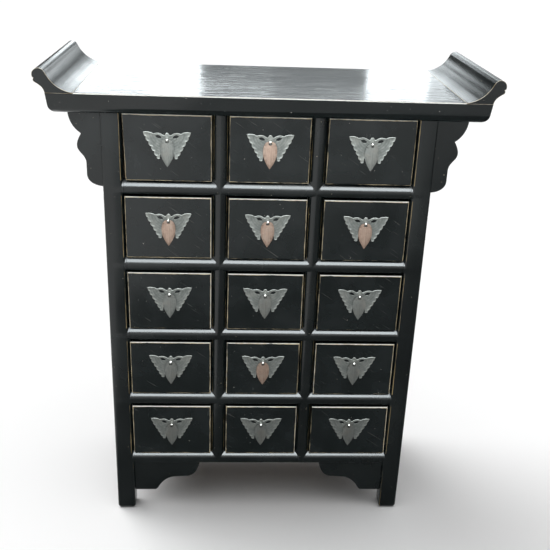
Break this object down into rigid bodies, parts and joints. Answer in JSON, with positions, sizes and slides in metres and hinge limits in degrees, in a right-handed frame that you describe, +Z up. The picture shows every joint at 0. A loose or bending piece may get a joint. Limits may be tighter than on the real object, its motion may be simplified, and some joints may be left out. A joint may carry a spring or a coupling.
{
  "type": "lacquer cabinet",
  "caption": "Upright black lacquer cabinet with scroll-ended top, shaped spandrels and apron, and a grid of sliding drawers with butterfly plates and leaf drop pulls.",
  "frame": {"origin": "floor level, at the centre of the bounding box", "axes": "+Z up, drawers open toward -Y, +X to the right seen from the front"},
  "size_m": [0.7928, 0.318, 0.9076],
  "materials": {
    "black_lacquer": "gloss black lacquer on wood, rubbed at the edges",
    "drawer_lacquer": "gloss black lacquer on wood, pale worn arrises",
    "bare_wood": "plain sawn softwood",
    "plate_metal": "aged grey white-brass",
    "leaf_metal": "aged copper-toned brass"
  },
  "bodies": {
    "cabinet": {"apron_rail": "black_lacquer", "back_panel": "bare_wood", "front_frame": "black_lacquer", "front_left_post": "black_lacquer", "front_right_post": "black_lacquer", "left_scroll_end": "black_lacquer", "left_side_panel": "black_lacquer", "left_spandrel": "black_lacquer", "rear_left_post": "black_lacquer", "rear_right_post": "black_lacquer", "right_scroll_end": "black_lacquer", "right_side_panel": "black_lacquer", "right_spandrel": "black_lacquer", "runner_frame": "bare_wood", "top_board": "black_lacquer"},
    "row1_left_drawer": {"drawer_row1_left": "drawer_lacquer", "plate_row1_left": "plate_metal"},
    "row1_left_pull": {"pull_row1_left": "leaf_metal"},
    "row1_middle_drawer": {"drawer_row1_middle": "drawer_lacquer", "plate_row1_middle": "plate_metal"},
    "row1_middle_pull": {"pull_row1_middle": "leaf_metal"},
    "row1_right_drawer": {"drawer_row1_right": "drawer_lacquer", "plate_row1_right": "plate_metal"},
    "row1_right_pull": {"pull_row1_right": "leaf_metal"},
    "row2_left_drawer": {"drawer_row2_left": "drawer_lacquer", "plate_row2_left": "plate_metal"},
    "row2_left_pull": {"pull_row2_left": "leaf_metal"},
    "row2_middle_drawer": {"drawer_row2_middle": "drawer_lacquer", "plate_row2_middle": "plate_metal"},
    "row2_middle_pull": {"pull_row2_middle": "leaf_metal"},
    "row2_right_drawer": {"drawer_row2_right": "drawer_lacquer", "plate_row2_right": "plate_metal"},
    "row2_right_pull": {"pull_row2_right": "leaf_metal"},
    "row3_left_drawer": {"drawer_row3_left": "drawer_lacquer", "plate_row3_left": "plate_metal"},
    "row3_left_pull": {"pull_row3_left": "leaf_metal"},
    "row3_middle_drawer": {"drawer_row3_middle": "drawer_lacquer", "plate_row3_middle": "plate_metal"},
    "row3_middle_pull": {"pull_row3_middle": "leaf_metal"},
    "row3_right_drawer": {"drawer_row3_right": "drawer_lacquer", "plate_row3_right": "plate_metal"},
    "row3_right_pull": {"pull_row3_right": "leaf_metal"},
    "row4_left_drawer": {"drawer_row4_left": "drawer_lacquer", "plate_row4_left": "plate_metal"},
    "row4_left_pull": {"pull_row4_left": "leaf_metal"},
    "row4_middle_drawer": {"drawer_row4_middle": "drawer_lacquer", "plate_row4_middle": "plate_metal"},
    "row4_middle_pull": {"pull_row4_middle": "leaf_metal"},
    "row4_right_drawer": {"drawer_row4_right": "drawer_lacquer", "plate_row4_right": "plate_metal"},
    "row4_right_pull": {"pull_row4_right": "leaf_metal"},
    "row5_left_drawer": {"drawer_row5_left": "drawer_lacquer", "plate_row5_left": "plate_metal"},
    "row5_left_pull": {"pull_row5_left": "leaf_metal"},
    "row5_middle_drawer": {"drawer_row5_middle": "drawer_lacquer", "plate_row5_middle": "plate_metal"},
    "row5_middle_pull": {"pull_row5_middle": "leaf_metal"},
    "row5_right_drawer": {"drawer_row5_right": "drawer_lacquer", "plate_row5_right": "plate_metal"},
    "row5_right_pull": {"pull_row5_right": "leaf_metal"}
  },
  "joints": [
    {"name": "row1_left_slide", "type": "slide", "parent": "cabinet", "child": "row1_left_drawer", "axis": [0, -1, 0], "range_m": [0, 0.19]},
    {"name": "row1_left_pull_hinge", "type": "hinge", "parent": "row1_left_drawer", "child": "row1_left_pull", "pos_m": [-0.17825, -0.1438, 0.7887], "axis": [-1, 0, 0], "range_deg": [0, 90]},
    {"name": "row1_middle_slide", "type": "slide", "parent": "cabinet", "child": "row1_middle_drawer", "axis": [0, -1, 0], "range_m": [0, 0.19]},
    {"name": "row1_middle_pull_hinge", "type": "hinge", "parent": "row1_middle_drawer", "child": "row1_middle_pull", "pos_m": [0, -0.1438, 0.7887], "axis": [-1, 0, 0], "range_deg": [0, 90]},
    {"name": "row1_right_slide", "type": "slide", "parent": "cabinet", "child": "row1_right_drawer", "axis": [0, -1, 0], "range_m": [0, 0.19]},
    {"name": "row1_right_pull_hinge", "type": "hinge", "parent": "row1_right_drawer", "child": "row1_right_pull", "pos_m": [0.17825, -0.1438, 0.7887], "axis": [-1, 0, 0], "range_deg": [0, 90]},
    {"name": "row2_left_slide", "type": "slide", "parent": "cabinet", "child": "row2_left_drawer", "axis": [0, -1, 0], "range_m": [0, 0.19]},
    {"name": "row2_left_pull_hinge", "type": "hinge", "parent": "row2_left_drawer", "child": "row2_left_pull", "pos_m": [-0.17825, -0.1438, 0.64135], "axis": [-1, 0, 0], "range_deg": [0, 90]},
    {"name": "row2_middle_slide", "type": "slide", "parent": "cabinet", "child": "row2_middle_drawer", "axis": [0, -1, 0], "range_m": [0, 0.19]},
    {"name": "row2_middle_pull_hinge", "type": "hinge", "parent": "row2_middle_drawer", "child": "row2_middle_pull", "pos_m": [0, -0.1438, 0.64135], "axis": [-1, 0, 0], "range_deg": [0, 90]},
    {"name": "row2_right_slide", "type": "slide", "parent": "cabinet", "child": "row2_right_drawer", "axis": [0, -1, 0], "range_m": [0, 0.19]},
    {"name": "row2_right_pull_hinge", "type": "hinge", "parent": "row2_right_drawer", "child": "row2_right_pull", "pos_m": [0.17825, -0.1438, 0.64135], "axis": [-1, 0, 0], "range_deg": [0, 90]},
    {"name": "row3_left_slide", "type": "slide", "parent": "cabinet", "child": "row3_left_drawer", "axis": [0, -1, 0], "range_m": [0, 0.19]},
    {"name": "row3_left_pull_hinge", "type": "hinge", "parent": "row3_left_drawer", "child": "row3_left_pull", "pos_m": [-0.17825, -0.1438, 0.4957], "axis": [-1, 0, 0], "range_deg": [0, 90]},
    {"name": "row3_middle_slide", "type": "slide", "parent": "cabinet", "child": "row3_middle_drawer", "axis": [0, -1, 0], "range_m": [0, 0.19]},
    {"name": "row3_middle_pull_hinge", "type": "hinge", "parent": "row3_middle_drawer", "child": "row3_middle_pull", "pos_m": [0, -0.1438, 0.4957], "axis": [-1, 0, 0], "range_deg": [0, 90]},
    {"name": "row3_right_slide", "type": "slide", "parent": "cabinet", "child": "row3_right_drawer", "axis": [0, -1, 0], "range_m": [0, 0.19]},
    {"name": "row3_right_pull_hinge", "type": "hinge", "parent": "row3_right_drawer", "child": "row3_right_pull", "pos_m": [0.17825, -0.1438, 0.4957], "axis": [-1, 0, 0], "range_deg": [0, 90]},
    {"name": "row4_left_slide", "type": "slide", "parent": "cabinet", "child": "row4_left_drawer", "axis": [0, -1, 0], "range_m": [0, 0.19]},
    {"name": "row4_left_pull_hinge", "type": "hinge", "parent": "row4_left_drawer", "child": "row4_left_pull", "pos_m": [-0.17825, -0.1438, 0.35175], "axis": [-1, 0, 0], "range_deg": [0, 90]},
    {"name": "row4_middle_slide", "type": "slide", "parent": "cabinet", "child": "row4_middle_drawer", "axis": [0, -1, 0], "range_m": [0, 0.19]},
    {"name": "row4_middle_pull_hinge", "type": "hinge", "parent": "row4_middle_drawer", "child": "row4_middle_pull", "pos_m": [0, -0.1438, 0.35175], "axis": [-1, 0, 0], "range_deg": [0, 90]},
    {"name": "row4_right_slide", "type": "slide", "parent": "cabinet", "child": "row4_right_drawer", "axis": [0, -1, 0], "range_m": [0, 0.19]},
    {"name": "row4_right_pull_hinge", "type": "hinge", "parent": "row4_right_drawer", "child": "row4_right_pull", "pos_m": [0.17825, -0.1438, 0.35175], "axis": [-1, 0, 0], "range_deg": [0, 90]},
    {"name": "row5_left_slide", "type": "slide", "parent": "cabinet", "child": "row5_left_drawer", "axis": [0, -1, 0], "range_m": [0, 0.19]},
    {"name": "row5_left_pull_hinge", "type": "hinge", "parent": "row5_left_drawer", "child": "row5_left_pull", "pos_m": [-0.17825, -0.1438, 0.2095], "axis": [-1, 0, 0], "range_deg": [0, 90]},
    {"name": "row5_middle_slide", "type": "slide", "parent": "cabinet", "child": "row5_middle_drawer", "axis": [0, -1, 0], "range_m": [0, 0.19]},
    {"name": "row5_middle_pull_hinge", "type": "hinge", "parent": "row5_middle_drawer", "child": "row5_middle_pull", "pos_m": [0, -0.1438, 0.2095], "axis": [-1, 0, 0], "range_deg": [0, 90]},
    {"name": "row5_right_slide", "type": "slide", "parent": "cabinet", "child": "row5_right_drawer", "axis": [0, -1, 0], "range_m": [0, 0.19]},
    {"name": "row5_right_pull_hinge", "type": "hinge", "parent": "row5_right_drawer", "child": "row5_right_pull", "pos_m": [0.17825, -0.1438, 0.2095], "axis": [-1, 0, 0], "range_deg": [0, 90]}
  ]
}
